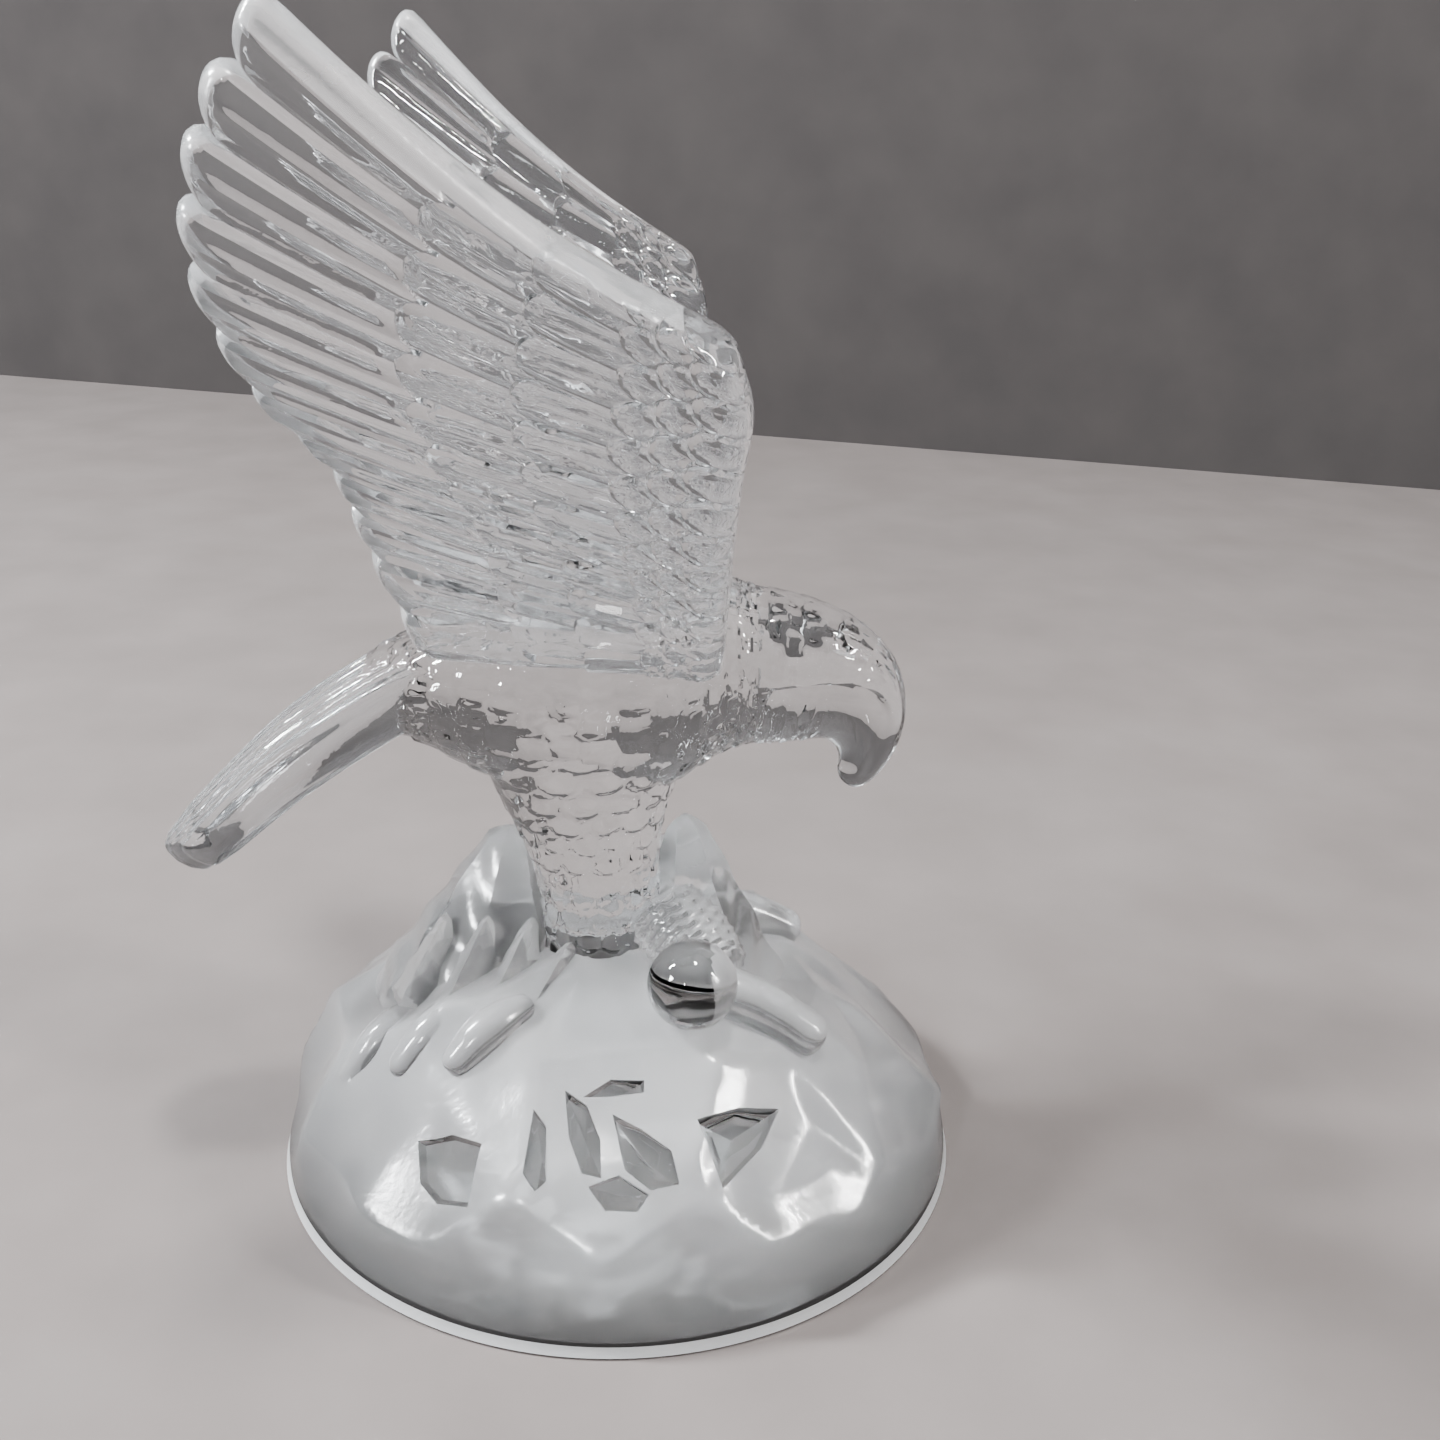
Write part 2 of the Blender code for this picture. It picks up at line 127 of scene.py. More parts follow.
frost = glass_finish(
    "etched_frost_with_painted_shade", ((0.90, 0.905, 0.915), (0.97, 0.972, 0.975)), roughness=(0.14, 0.22),
    mottle=0.010, grain=0.0009, grain_depth=0.00006, clear=0.80,
    painted_foot_shade=((0.17, 0.169, 0.17), 0.0, 0.022),
)
polish = glass_finish(
    "fire_polish", ((0.96, 0.975, 0.985), (0.985, 0.99, 0.995)), roughness=(0.0, 0.035),
    mottle=0.009, grain=0.004, grain_depth=0.00015, clear=1.0,
)
ground = glass_finish(
    "ground_foot", ((0.93, 0.94, 0.95), (0.96, 0.965, 0.97)), roughness=(0.30, 0.42),
    mottle=0.006, grain=0.0007, grain_depth=0.00010, clear=0.55,
)
sole = glass_finish(
    "fired_underside", ((0.96, 0.97, 0.975), (0.99, 0.99, 0.99)), roughness=(0.05, 0.14),
    mottle=0.008, grain=0.002, grain_depth=0.0001, clear=0.74,
)
FINISHES = (frost, polish, ground, sole)
FROST, POLISH, GROUND, SOLE = 0, 1, 2, 3


def facet_planes():
    """Every facet's outward direction and its distance from the middle of the underside."""
    draw = random.Random(FACET_SEED)
    planes = []
    for number, (count, slope, slope_play, turn_play) in enumerate(FACET_RINGS):
        for k in range(count):
            tilt = math.radians(slope + draw.uniform(-slope_play, slope_play))
            turn = 2 * math.pi * (k + FACET_STAGGER * number) / count
            turn += math.radians(draw.uniform(-turn_play, turn_play))
            level = math.cos(tilt)
            if number == 0:
                depth = FOOT_RADIUS * math.cos(tilt) + RIM_HEIGHT * math.sin(tilt)
            elif count == 1:
                depth = ROCK_HEIGHT
            else:
                depth = math.hypot(FOOT_RADIUS * math.cos(tilt), ROCK_SHOULDER * math.sin(tilt))
                towards = max(0.0, math.cos(turn - ROCK_FALL_TOWARDS))
                lowered = ROCK_FALL * towards * math.sin(tilt) ** 2
                depth *= draw.uniform(*FACET_DEPTHS) - lowered
            planes.append((math.cos(turn) * level, math.sin(turn) * level, math.sin(tilt), depth))
    return np.array(planes)


PLANES = facet_planes()
# the small facets: radians between their corners, how unevenly those stand, and how far in
CHIP_SEED, CHIP_SPACING, CHIP_PLAY, CHIP_DEPTH = 8, 0.17, 0.32, 0.0012
CHIP_LEVELS, FEWEST_CORNERS = 9, 6
CHIPS_FROM, CHIPS_GROW = 0.0025, 0.003     # the height where they begin, and the rise to full depth
CHIPS_TO, CHIPS_FADE = 1.42, 0.2           # where they end near the top, in radians of rise


def chip_facets():
    """Small three-cornered facets over turn and rise, their corners a little in from the broad."""
    draw = random.Random(CHIP_SEED)
    corners, depths = [], []
    for level in range(CHIP_LEVELS):
        around = round(2 * math.pi * math.cos(level * CHIP_SPACING) / CHIP_SPACING)
        around = max(FEWEST_CORNERS, around)
        for k in range(around):
            place = k + 0.5 * (level % 2) + draw.uniform(-CHIP_PLAY, CHIP_PLAY)
            turn = 2 * math.pi * place / around
            rise = (level + draw.uniform(-CHIP_PLAY, CHIP_PLAY)) * CHIP_SPACING
            depth = draw.uniform(0.0, CHIP_DEPTH)
            for lap in (-2 * math.pi, 0.0, 2 * math.pi):
                corners.append(Vector((turn + lap, rise)))
                depths.append(depth)
    spots, _, facets, sources, _, _ = delaunay_2d_cdt(corners, [], [], 0, 1e-9)
    spots = np.array([(*spot, depths[source[0]]) for spot, source in zip(spots, sources)])
    return spots[np.array(facets)]


CHIPS = chip_facets()
ROCK_EASE = 0.989                          # the rock stands in a little from the foot's edge
CHIP_SIDES = CHIPS[:, 1:] - CHIPS[:, :1]
CHIP_AREAS = (
    CHIP_SIDES[:, 0, 0] * CHIP_SIDES[:, 1, 1] - CHIP_SIDES[:, 1, 0] * CHIP_SIDES[:, 0, 1]
)


def chip_depth(turn, rise):
    """How far in the small facet at a direction lies."""
    off = np.array((turn % (2 * math.pi), rise)) - CHIPS[:, 0, :2]
    first = (off[:, 0] * CHIP_SIDES[:, 1, 1] - CHIP_SIDES[:, 1, 0] * off[:, 1]) / CHIP_AREAS
    second = (CHIP_SIDES[:, 0, 0] * off[:, 1] - off[:, 0] * CHIP_SIDES[:, 0, 1]) / CHIP_AREAS
    here = int(np.argmax(np.minimum(np.minimum(first, second), 1.0 - first - second)))
    along = first[here] * CHIP_SIDES[here, 0, 2]
    return CHIPS[here, 0, 2] + along + second[here] * CHIP_SIDES[here, 1, 2]


def rock_reach(turn, rise):
    """How far the rock reaches from the middle of its underside, in a direction."""
    level = math.cos(rise)
    way = np.array((math.cos(turn) * level, math.sin(turn) * level, math.sin(rise)))
    facing = PLANES[:, :3] @ way
    near = facing > FACET_FACING
    facing, depth = facing[near], PLANES[near, 3]
    reaches = depth / facing * (1.0 + FACET_HOLLOW * (1.0 / facing**2 - 1.0))
    round_rim = FOOT_RADIUS / max(level, 0.05)
    reaches = np.append(reaches, round_rim)
    closest = reaches.min()
    broad = closest - FACET_EDGE * math.log(np.exp((closest - reaches) / FACET_EDGE).sum())
    # the small facets stop short of the rim and of the top
    share = min(max((way[2] * broad - CHIPS_FROM) / CHIPS_GROW, 0.0), 1.0)
    share *= min(max((CHIPS_TO - rise) / CHIPS_FADE, 0.0), 1.0)
    return (broad - chip_depth(turn, rise) * share) * ROCK_EASE, way


forms = []                                 # what is pressed together at the end


def add_form(name, vertices, faces, finishes):
    """Make one form, with one finish for all its faces or a list of one for each, and keep it."""
    mesh = bpy.data.meshes.new(name)
    mesh.from_pydata([tuple(v) for v in vertices], [], [tuple(f) for f in faces])
    for finish in FINISHES:
        mesh.materials.append(finish)
    if isinstance(finishes, int):
        finishes = [finishes] * len(faces)
    mesh.polygons.foreach_set("material_index", finishes)
    bm = bmesh.new()
    bm.from_mesh(mesh)
    bmesh.ops.recalc_face_normals(bm, faces=bm.faces)
    bm.to_mesh(mesh)
    bm.free()
    made = bpy.data.objects.new(name, mesh)
    bpy.context.scene.collection.objects.link(made)
    forms.append(made)
    return made


def skin(name, rings, finishes):
    """A closed skin over rings of equally many points, each end closed on its middle."""
    rings = np.asarray(rings)
    rows, count = rings.shape[:2]
    vertices = list(rings.reshape(-1, 3))
    faces, kept = [], []
    for i in range(rows - 1):
        for j in range(count):
            k = (j + 1) % count
            faces.append((i * count + j, i * count + k, (i + 1) * count + k, (i + 1) * count + j))
            kept.append(finishes if isinstance(finishes, int) else finishes(i, j))
    for row in (0, rows - 1):
        vertices.append(rings[row].mean(axis=0))
        for j in range(count):
            faces.append((len(vertices) - 1, row * count + j, row * count + (j + 1) % count))
            kept.append(finishes if isinstance(finishes, int) else finishes(min(row, rows - 2), j))
    return add_form(name, vertices, faces, kept)


ROCK_COLUMNS, ROCK_ROWS = 216, 66
FOOT_BEVEL = 0.0003
# it stands on a ring, and inside that the underside slopes up to a slight hollow
FOOT_RING, UNDERSIDE_SLOPE, UNDERSIDE_HOLLOW = 0.0040, 0.0008, 0.0004
UNDERSIDE_ROWS = 2
GROUND_BAND = 0.0010                       # the skin is ground up to this height, then frosted
LOWEST_RISE = 0.01                         # radians
rock_rings = []
for inset, height in (
    (FOOT_RING + UNDERSIDE_SLOPE, UNDERSIDE_HOLLOW), (FOOT_RING, 0.0),
    (FOOT_BEVEL, 0.0), (0.0, FOOT_BEVEL),
):
    rock_rings.append([
        ((FOOT_RADIUS - inset) * math.cos(t), (FOOT_RADIUS - inset) * math.sin(t), height)
        for t in (2 * math.pi * j / ROCK_COLUMNS for j in range(ROCK_COLUMNS))
    ])
for i in range(1, ROCK_ROWS):
    rise = math.pi / 2 * (i / ROCK_ROWS) + LOWEST_RISE
    ring = []
    for j in range(ROCK_COLUMNS):
        far, way = rock_reach(2 * math.pi * j / ROCK_COLUMNS, rise)
        ring.append(way * far)
    rock_rings.append(ring)


def rock_finish(i, j):
    """The underside is fired smooth, the band at the foot is ground, and the rest is frosted."""
    if i < UNDERSIDE_ROWS:
        return SOLE
    return GROUND if rock_rings[i][j][2] < GROUND_BAND else FROST


rock = skin("rock", rock_rings, rock_finish)


# ---------------------------------------------------------------------------------------------
# The polished cuts in the rock.
# Small shallow cuts low on the rock's right side, ground through the frost and polished, so the
# clear glass shows: a square window, a slit, an upright, leaves with veins, and a wedge.

# each cut's outline as compass turn and height on the rock, and how deep it goes
CUTS = (
    ("window", ((-131.7, 17.0), (-127.3, 13.9), (-122.5, 13.0), (-116.1, 14.2), (-117.5, 19.4),
                (-124.8, 18.9)), 0.0009),
    ("slit", ((-99.0, 23.4), (-92.6, 24.6), (-84.0, 24.8), (-84.2, 24.0), (-92.1, 23.5)), 0.0009),
    ("upright", ((-109.4, 22.6), (-107.4, 18.6), (-104.6, 17.4), (-103.0, 18.2), (-105.6, 21.6)),
     0.0012),
    ("left_leaf", ((-103.6, 23.8), (-97.9, 22.9), (-94.1, 20.8), (-93.4, 18.4), (-97.0, 18.8),
                   (-100.6, 21.0)), 0.0014),
    ("right_leaf", ((-91.8, 22.4), (-85.6, 21.5), (-80.2, 20.4), (-79.6, 17.9), (-84.6, 17.3),
                    (-89.2, 19.0)), 0.0014),
    ("low_leaf", ((-95.7, 17.8), (-90.2, 18.6), (-84.9, 17.0), (-87.0, 15.7), (-92.5, 15.9)),
     0.0012),
    ("left_vein", ((-101.4, 23.0), (-98.6, 22.3), (-95.0, 19.6), (-95.4, 19.2), (-99.6, 21.2)),
     0.0017),
    ("right_vein", ((-89.6, 21.4), (-86.2, 20.6), (-81.6, 18.6), (-82.2, 18.2), (-87.6, 19.6)),
     0.0017),
    ("wedge_edge", ((-71.5, 22.0), (-70.2, 22.0), (-69.6, 18.4), (-71.0, 18.2)), 0.0016),
    ("wedge", ((-74.0, 22.6), (-64.0, 22.4), (-54.2, 20.6), (-61.5, 18.3), (-72.0, 17.0)), 0.0015),
)
CUT_LEAN = 1.75                            # above 1 the wheel points further down than straight in
CUT_PROUD = 0.004                          # how far the wheel's form stands out of the rock
CUT_FLOOR = 0.86                           # the floor's outline, as a share of the brim's
FLAT_KEEL, DEEP_KEEL = 1.05, 2.2           # how deep a floor's middle lies, in the cut's own depth


def on_rock(turn, height):
    """The point of the rock at a compass turn, in degrees, and a height, in millimetres."""
    turn, low, high = math.radians(turn), 0.02, 1.4
    for _ in range(30):
        rise = (low + high) / 2
        far, way = rock_reach(turn, rise)
        low, high = (rise, high) if way[2] * far < height / 1000.0 else (low, rise)
    return Vector(way * far)


cut_tools = []
for cut_name, outline, deep in CUTS:
    brim = [on_rock(*corner) for corner in outline]
    centre = sum(brim, Vector()) / len(brim)
    out = Vector((centre.x, centre.y, centre.z * CUT_LEAN)).normalized()
    cutter = bmesh.new()
    levels = []
    for lift, spread in ((CUT_PROUD, 1.0), (0.0, 1.0), (-deep, CUT_FLOOR)):
        levels.append([cutter.verts.new(centre + (p - centre) * spread + out * lift) for p in brim])
    # the floor of each cut falls to one low point in its middle
    sunk = FLAT_KEEL if cut_name == "window" else DEEP_KEEL
    keel = cutter.verts.new(centre - out * deep * sunk)
    top = cutter.verts.new(centre + out * CUT_PROUD)
    for j in range(len(brim)):
        k = (j + 1) % len(brim)
        cutter.faces.new((top, levels[0][j], levels[0][k]))
        for above, below in ((levels[0], levels[1]), (levels[1], levels[2])):
            cutter.faces.new((above[j], above[k], below[k], below[j]))
        cutter.faces.new((keel, levels[2][k], levels[2][j]))
    bmesh.ops.recalc_face_normals(cutter, faces=cutter.faces)
    mesh = bpy.data.meshes.new(cut_name)
    cutter.to_mesh(mesh)
    cutter.free()
    for finish in FINISHES:
        mesh.materials.append(finish)
    mesh.polygons.foreach_set("material_index", [POLISH] * len(mesh.polygons))
    tool = bpy.data.objects.new(cut_name, mesh)
    bpy.context.scene.collection.objects.link(tool)
    cut_tools.append(tool)
    grind = rock.modifiers.new(cut_name, "BOOLEAN")
    grind.operation = "DIFFERENCE"
    grind.object = tool
    grind.solver = "MANIFOLD"


# ---------------------------------------------------------------------------------------------
# The spurs of the rock that stand behind the legs, and the worn bumps behind the right foot.
# They were pressed with the rock and etched with it. A spur is a faceted horn with a blunt tip,
# and broken teeth stand along the rear one.

EAGLE_UNIT = 0.00105                       # the eagle is drawn in hundredths of its height
CRAG_ROWS, POINTS_A_SIDE = 34, 8
TIP_STARTS, TIP_LENGTH, TIP_CLOSES = 0.93, 0.07, 0.75
FLAT_SHARE, ROUND_SHARE = 0.86, 0.14       # how flat and how round a horn's sides are
RIPPLES, RIPPLE_SWAY, RIPPLE_DEPTH = 7.0, 2.6, 0.030
FLUTES, FLUTE_DEPTH = 5, 0.035
LIMB_END, LIMB_SWELL = 0.45, 0.55          # a limb's end is this thick, and swells by this much
KNOBS_ROUND, KNOB_ROWS = 4.0, 9
BUMP_STEP, BUMP_INSET, BUMP_SINKS = 6.5, 3.6, (0.0, 0.9, 1.5)
# where each broken tooth stands along the front of the rear crag, and how tall it is
TEETH = ((-21.5, -4.9, 3.0), (-16.4, -6.6, 3.6), (-11.2, -6.6, 3.4), (-6.6, -8.4, 1.2))


def on_eagle(x, y, z):
    """A point drawn in hundredths of the eagle's height, above the perch."""
    return np.array((x * EAGLE_UNIT, y * EAGLE_UNIT, ROCK_HEIGHT + z * EAGLE_UNIT))


def smooth_path(points, t):
    """The point at t, from 0 to 1, on a smooth curve through evenly spaced points."""
    points = np.asarray(points, float)
    ends = np.vstack((2 * points[0] - points[1], points, 2 * points[-1] - points[-2]))
    place = min(max(t, 0.0), 1.0) * (len(points) - 1)
    i = min(int(place), len(points) - 2)
    u = place - i
    a, b, c, d = ends[i : i + 4]
    bend, twist = 2 * a - 5 * b + 4 * c - d, 3 * b - a - 3 * c + d
    return 0.5 * (2 * b + (c - a) * u + bend * u**2 + twist * u**3)


def crag(name, foot, peak, foot_radius, peak_radius, sides, turned):
    """A horn of rock with flat, slightly hollow sides, soft edges and ripples across it."""
    foot, peak = Vector(on_eagle(*foot)), Vector(on_eagle(*peak))
    along = peak - foot
    frame_of_horn = along.to_track_quat("Z", "Y").to_matrix()
    rings = []
    rows, count = CRAG_ROWS, sides * POINTS_A_SIDE
    for i in range(rows + 1):
        t = i / rows
        radius = EAGLE_UNIT * (foot_radius + (peak_radius - foot_radius) * t)
        tip = 1.0 - max(0.0, (t - TIP_STARTS) / TIP_LENGTH) ** 2 * TIP_CLOSES
        ring = []
        for j in range(count):
            angle = 2 * math.pi * j / count
            within = (angle * sides / (2 * math.pi)) % 1.0 - 0.5
            flat = math.cos(math.pi / sides) / math.cos(2 * math.pi * within / sides)
            soft = FLAT_SHARE * flat + ROUND_SHARE * math.cos(math.pi / sides)
            sway = RIPPLE_SWAY * math.sin(2 * angle + turned)
            ripple = 1.0 + RIPPLE_DEPTH * math.sin(RIPPLES * t * math.pi + sway)
            ripple += FLUTE_DEPTH * math.sin(FLUTES * angle + turned) * (1 - t)
            reach = radius * soft * ripple * tip
            place = Vector((math.cos(angle) * reach, math.sin(angle) * reach, t * along.length))
            ring.append(foot + frame_of_horn @ place)
        rings.append([tuple(p) for p in ring])
    skin(name, rings, FROST)


def above_rock(x, y, lift):
    """A point drawn over the rock's rounded top, which is where the feet go, lift above it."""
    share = math.hypot(x, y) * EAGLE_UNIT / FOOT_RADIUS
    top = min(ROCK_SHOULDER * math.sqrt(max(1.0 - share**2, 0.05)), ROCK_HEIGHT)
    return x, y, (top - ROCK_HEIGHT) / EAGLE_UNIT + lift


def limb(name, points, radii, finish, rows=36, count=32, knobs=0.0, blunt=0.12):
    """A round limb along a smooth path, such as a toe, with rounded ends, and knobs if scaly."""
    path = [on_eagle(*smooth_path(points, i / rows)) for i in range(rows + 1)]
    rings = []
    for i, here in enumerate(path):
        t = i / rows
        run = Vector(path[min(i + 1, rows)] - path[max(i - 1, 0)]).normalized()
        side = run.cross(Vector((0, 0, 1))).normalized()
        lift = side.cross(run)
        radius = EAGLE_UNIT * float(smooth_path([(r,) for r in radii], t)[0])
        ends = min(1.0, t / blunt, (1 - t) / blunt)
        radius *= LIMB_END + LIMB_SWELL * math.sqrt(1.0 - (1.0 - ends) ** 2)
        ring = []
        for j in range(count):
            a = 2 * math.pi * j / count
            row = KNOB_ROWS * math.pi * t
            knob = abs(math.sin(KNOBS_ROUND * a + row)) * abs(math.sin(row - KNOBS_ROUND * a))
            reach = radius + knobs * knob
            outward = math.cos(a) * np.array(side) + math.sin(a) * np.array(lift)
            ring.append(here + reach * outward)
        rings.append(ring)
    skin(name, rings, finish)


crag("front_spire", (10.5, -1, -14), (7.6, 0.5, 11.8), 12.2, 1.9, sides=6, turned=0.4)
crag("rear_crag", (-17, 1, -14), (-13.2, 2, 9.6), 15.0, 2.2, sides=7, turned=1.9)
for number, sink in enumerate(BUMP_SINKS):
    back, inward = BUMP_STEP * number, BUMP_INSET * number
    bump_line = (
        above_rock(-10.4 - back, -(14.2 - inward), -1.2 - sink),
        above_rock(-15.0 - back, -(17.6 - inward), -0.5 - sink),
        above_rock(-19.4 - back, -(20.2 - inward), -1.4 - sink),
    )
    limb("worn_bump", bump_line, (1.5, 2.5, 1.7), FROST, count=24)
for number, (x, y, tall) in enumerate(TEETH):
    root, peak = (x - 3.0, y - 2.5, -9.0), (x + 0.8, y + 0.6, tall - 2.0)
    crag("tooth", root, peak, foot_radius=5.4, peak_radius=0.7, sides=3, turned=0.7 * number)


# ---------------------------------------------------------------------------------------------
# The feet.
# Each is a scaly ankle, one long front toe laid on the rock and a round clenched knuckle. The
# toe and ankle are frosted with the rock; the knuckle is left clear and works like a lens.

KNUCKLE_RADIUS = 5.1
KNUCKLE_PLACE = (8.0, 19.0, 5.0)
KNUCKLE_ROWS, KNUCKLE_COLUMNS = 24, 40
FROST_ON_KNUCKLE = 0.35                    # the frost covers the knuckle's front side from here on
ANKLE_KNOBS = 0.00045
LEFT_FOOT_SPREAD, LEFT_FOOT_SINK = 0.78, 4.0   # the far foot stands closer in and lower


def set_foot(side, points):
    """A foot's points set on the rock: x, distance from the middle plane, height over the rock."""
    spread, sink = (1.0, 0.0) if side < 0 else (LEFT_FOOT_SPREAD, LEFT_FOOT_SINK)
    return [above_rock(x, side * y * spread, lift - sink) for x, y, lift in points]


for side in (-1, 1):
    toe_line = set_foot(side, ((7.0, 12.5, -0.2), (15.6, 15.4, 0.9), (23.2, 17.2, 0.7)))
    limb("front_toe", toe_line, (3.4, 2.9, 2.5), FROST)
    ankle_line = set_foot(side, ((4.5, 5.0, 3.5), (8.6, 9.2, 1.8), (11.4, 13.0, 0.6)))
    limb("ankle", ankle_line, (4.7, 4.7, 3.9), FROST, count=48, knobs=ANKLE_KNOBS)
    middle = np.array(on_eagle(*set_foot(side, (KNUCKLE_PLACE,))[0]))
    ball = []
    for i in range(1, KNUCKLE_ROWS):
        fall = math.pi * i / KNUCKLE_ROWS
        ball.append([
            middle + KNUCKLE_RADIUS * EAGLE_UNIT * np.array(
                (math.sin(fall) * math.cos(a), math.sin(fall) * math.sin(a), math.cos(fall))
            )
            for a in (2 * math.pi * j / KNUCKLE_COLUMNS for j in range(KNUCKLE_COLUMNS))
        ])
    frosted = FROST_ON_KNUCKLE * KNUCKLE_RADIUS * EAGLE_UNIT
    skin("knuckle", ball, lambda i, j: FROST if ball[i][j][0] - middle[0] > frosted else POLISH)


# ---------------------------------------------------------------------------------------------
# The feathered legs and the body.
# Clear glass, fire-polished by the hot mould. Small overlapping feathers stand on it like fish
# scales, with their round ends towards the feet on the legs and towards the tail on the body.

SCALE_RELIEF = 0.00110
SCALE_SEAT = 0.60                          # how deep the scales are sunk, in their own height
SCALE_END = 0.62                           # how far a scale's round end stands out past its row
SCALE_PLAY, SCALE_SWAY = 0.16, 0.10        # how unevenly the ends reach, and lie from side to side
SCALE_BRINK = 0.16                         # how far back from its end a scale is rounded over
SCALE_FALL = 0.26                          # how much lower it lies one row further back
FLANK_FROM, FLANK_WIDTH, FLANK_FALL = 0.72, 0.28, 0.35
FEATHER_SEED, DIFFERENT_FEATHERS = 5, 997
feather_random = random.Random(FEATHER_SEED)
FEATHER_DRAWS = [feather_random.random() for _ in range(DIFFERENT_FEATHERS)]


def shingles(across, along):
    """Height, from 0 to 1, of overlapping round scales; their free ends point where along grows."""
    for row in range(int(math.floor(along)) - 2, int(math.floor(along)) + 2):
        place = across + 0.5 * (row % 2)
        number = int(math.floor(place))
        sway = FEATHER_DRAWS[(row * 31 + number * 7) % len(FEATHER_DRAWS)]
        u = 2.0 * (place - number) - 1.0 + SCALE_SWAY * (sway - 0.5)
        end = row + SCALE_END * math.sqrt(max(0.0, 1.0 - u * u)) + SCALE_PLAY * (sway - 0.5)
        if along <= end:
            back = end - along
            brink = math.sqrt(1 - (1 - min(back / SCALE_BRINK, 1.0)) ** 2)
            flank = min(max((abs(u) - FLANK_FROM) / FLANK_WIDTH, 0.0), 1.0)
            flank = 1.0 - FLANK_FALL * flank
            return (0.45 + 0.55 * brink) * (1.0 - SCALE_FALL * back) * flank * (0.90 + 0.20 * sway)
    return 0.0


def raised(rings, heights):
    """The same rings with every point pushed out along the skin's own normal."""
    rings = np.asarray(rings)
    round_way = np.roll(rings, -1, axis=1) - np.roll(rings, 1, axis=1)
    long_way = np.gradient(rings, axis=0)
    normal = np.cross(round_way, long_way)
    normal /= np.linalg.norm(normal, axis=2, keepdims=True) + 1e-12
    outward = rings - rings.mean(axis=1, keepdims=True)
    normal *= np.sign((normal * outward).sum(axis=2, keepdims=True).mean())
    return rings + normal * np.asarray(heights)[:, :, None]


# height, rear edge, front edge, half width
THIGH_STATIONS = (
    (-11, -11.5, 7.5, 9.5), (-4, -10.2, 5.8, 8.8), (3, -10.5, 5.3, 8.6), (10, -12.5, 5.4, 9.0),
    (17, -16.0, 7.2, 10.0), (25, -20.0, 10.5, 10.6), (32, -21.0, 12.0, 9.5),
)
THIGH_WAIST = 0.10
THIGH_SCALES_ROUND, THIGH_SCALE_ROWS = 16, 16
leg_rings, leg_heights = [], []
rows, count = 124, 120
for i in range(rows + 1):
    z, rear, front, half = smooth_path(THIGH_STATIONS, i / rows)
    ring, heights = [], []
    for j in range(count):
        turn = 2 * math.pi * j / count
        pinch = 1.0 - THIGH_WAIST * abs(math.cos(turn)) ** 3
        x = (rear + front) / 2 + math.cos(turn) * (front - rear) / 2 * pinch
        ring.append(on_eagle(x, math.sin(turn) * half, z))
        down = (1.0 - i / rows) * THIGH_SCALE_ROWS
        scale = shingles(j / count * THIGH_SCALES_ROUND, down)
        heights.append(SCALE_RELIEF * (scale - SCALE_SEAT))
    leg_rings.append(ring)
    leg_heights.append(heights)
skin("legs", raised(leg_rings, leg_heights), POLISH)

# x, lower edge, upper edge, half width
BODY_STATIONS = (
    (-29, 24.5, 32.0, 5.5), (-23, 22.5, 35.5, 8.0), (-15, 18.0, 40.0, 10.2), (-6, 14.5, 42.5, 11.4),
    (4, 16.5, 42.5, 11.2), (11, 21.0, 41.5, 9.4), (15, 22.5, 40.5, 8.4),
)
BODY_SCALES_ROUND, BODY_SCALE_ROWS = 18, 16
body_rings, body_heights = [], []
rows, count = 104, 120
for i in range(rows + 1):
    x, low, high, half = smooth_path(BODY_STATIONS, i / rows)
    ring, heights = [], []
    for j in range(count):
        turn = 2 * math.pi * j / count
        z = (low + high) / 2 + math.sin(turn) * (high - low) / 2
        ring.append(on_eagle(x, math.cos(turn) * half, z))
        back = (1.0 - i / rows) * BODY_SCALE_ROWS
        scale = shingles(j / count * BODY_SCALES_ROUND, back)
        heights.append(SCALE_RELIEF * (scale - SCALE_SEAT))
    body_rings.append(ring)
    body_heights.append(heights)
skin("body", raised(body_rings, body_heights), POLISH)


# ---------------------------------------------------------------------------------------------
# The head and the hooked beak.
# Clear glass. A straight brow overhangs a smooth hollow cheek, small scales run over the crown
# and the throat, and the beak is one smooth hook with a blunt end.

# x, z, pitch, half height, half width, height of the brow in the section, how far it overhangs
HEAD_STATIONS = (
    (4.0, 31.4, 0, 10.4, 9.6, 0.02, 0.0), (13.5, 31.2, -2, 9.3, 8.4, 0.04, 0.14),
    (19.2, 30.8, -8, 8.7, 7.9, 0.09, 0.40), (24.4, 29.4, -24, 7.6, 6.8, 0.30, 0.40),
    (27.8, 26.6, -47, 6.1, 5.0, 0.52, 0.16), (28.9, 22.8, -76, 4.4, 3.5, 0.55, 0.0),
    (28.5, 19.4, -101, 2.9, 2.5, 0.5, 0.0), (26.9, 16.2, -120, 1.7, 1.6, 0.5, 0.0),
)
CROWN_SCALES_END, THROAT_SCALES_END = 0.60, 0.50
CROWN_RELIEF = 0.6
HEAD_SCALES_ROUND, HEAD_SCALE_ROWS = 16, 22.0
SCALES_FADE = 0.10                         # how softly the scales end
THROAT_BARE = 0.12                         # how much is bare between the brow and the throat's
BEAK_TIP, BEAK_SWELL, BEAK_TIP_LENGTH = 0.30, 0.70, 0.07
CHEEK_CURVE, BROW_LIP = 1.4, 0.03
head_rings, head_heights = [], []
rows, half_count = 130, 44
